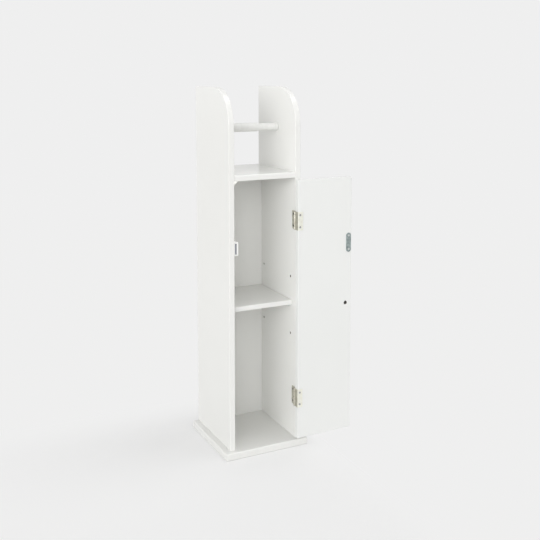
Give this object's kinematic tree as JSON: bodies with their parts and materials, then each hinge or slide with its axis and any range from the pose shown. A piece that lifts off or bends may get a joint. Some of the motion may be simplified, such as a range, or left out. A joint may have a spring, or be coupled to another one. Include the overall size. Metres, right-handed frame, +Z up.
{
  "type": "toilet roll storage cabinet",
  "caption": "Narrow free-standing bathroom cabinet with an open roll holder bay on top, a hinged door with a magnetic catch and an adjustable shelf for spare rolls.",
  "frame": {"origin": "centre of the base plate's underside", "axes": "+X to the right seen from the front, +Y to the back, +Z up; the cabinet's front faces -Y and the door stands open as pictured"},
  "size_m": [0.2994, 0.1985, 0.78],
  "materials": {
    "white_paint": "satin white paint on MDF",
    "nickel_pins": "nickel plated",
    "satin_nickel": "satin nickel plate",
    "zinc_screw": "zinc plated",
    "hinge_metal": "pale lacquered brass plate",
    "hinge_pin_steel": "polished steel",
    "white_plastic": "moulded satin plastic",
    "magnet": "sintered ferrite",
    "plate_steel": "blue-grey zinc plate",
    "roller_plastic": "moulded gloss plastic",
    "spring_steel": "drawn wire",
    "zinc_fitting": "die-cast zinc",
    "beech": "plain beech"
  },
  "bodies": {
    "cabinet": {"base_plate": "white_paint", "left_side_panel": "white_paint", "right_side_panel": "white_paint", "back_panel": "white_paint", "top_shelf": "white_paint", "shelf_pins": "nickel_pins", "upper_frame_leaf": "hinge_metal", "upper_hinge_pin": "hinge_pin_steel", "lower_frame_leaf": "hinge_metal", "lower_hinge_pin": "hinge_pin_steel", "frame_leaf_screws": "zinc_screw", "catch_body": "white_plastic", "catch_magnet": "magnet", "catch_pole_plates": "plate_steel", "catch_screws": "zinc_screw", "door_stop": "white_plastic", "door_stop_screw": "zinc_screw", "cam_bolts": "zinc_fitting", "cam_discs": "zinc_fitting", "dowels": "beech", "base_screws": "zinc_screw"},
    "door": {"door": "white_paint", "door_knob": "satin_nickel", "knob_screw": "zinc_screw", "upper_door_leaf": "hinge_metal", "lower_door_leaf": "hinge_metal", "door_leaf_screws": "zinc_screw", "strike_plate": "plate_steel", "strike_screws": "zinc_screw"},
    "shelf": {"middle_shelf": "white_paint"},
    "roller": {"roller_sleeve": "roller_plastic", "roller_spring": "spring_steel"},
    "plunger": {"roller_plunger": "roller_plastic"}
  },
  "joints": [
    {"name": "door_swing", "type": "hinge", "parent": "cabinet", "child": "door", "pos_m": [0.0685, -0.0873, 0.29], "axis": [0, 0, 1], "range_deg": [-182, 8]},
    {"name": "shelf_lift", "type": "slide", "parent": "cabinet", "child": "shelf", "axis": [0, 0, 1], "range_m": [0, 0.063]},
    {"name": "roller_spin", "type": "hinge", "parent": "cabinet", "child": "roller", "pos_m": [0, 0.0035, 0.692], "axis": [1, 0, 0], "continuous": true},
    {"name": "plunger_squeeze", "type": "slide", "parent": "roller", "child": "plunger", "axis": [-1, 0, 0], "range_m": [0, 0.012], "stiffness_N_per_m": 300, "springref_m": -0.02, "deforming": ["roller_spring"]}
  ]
}
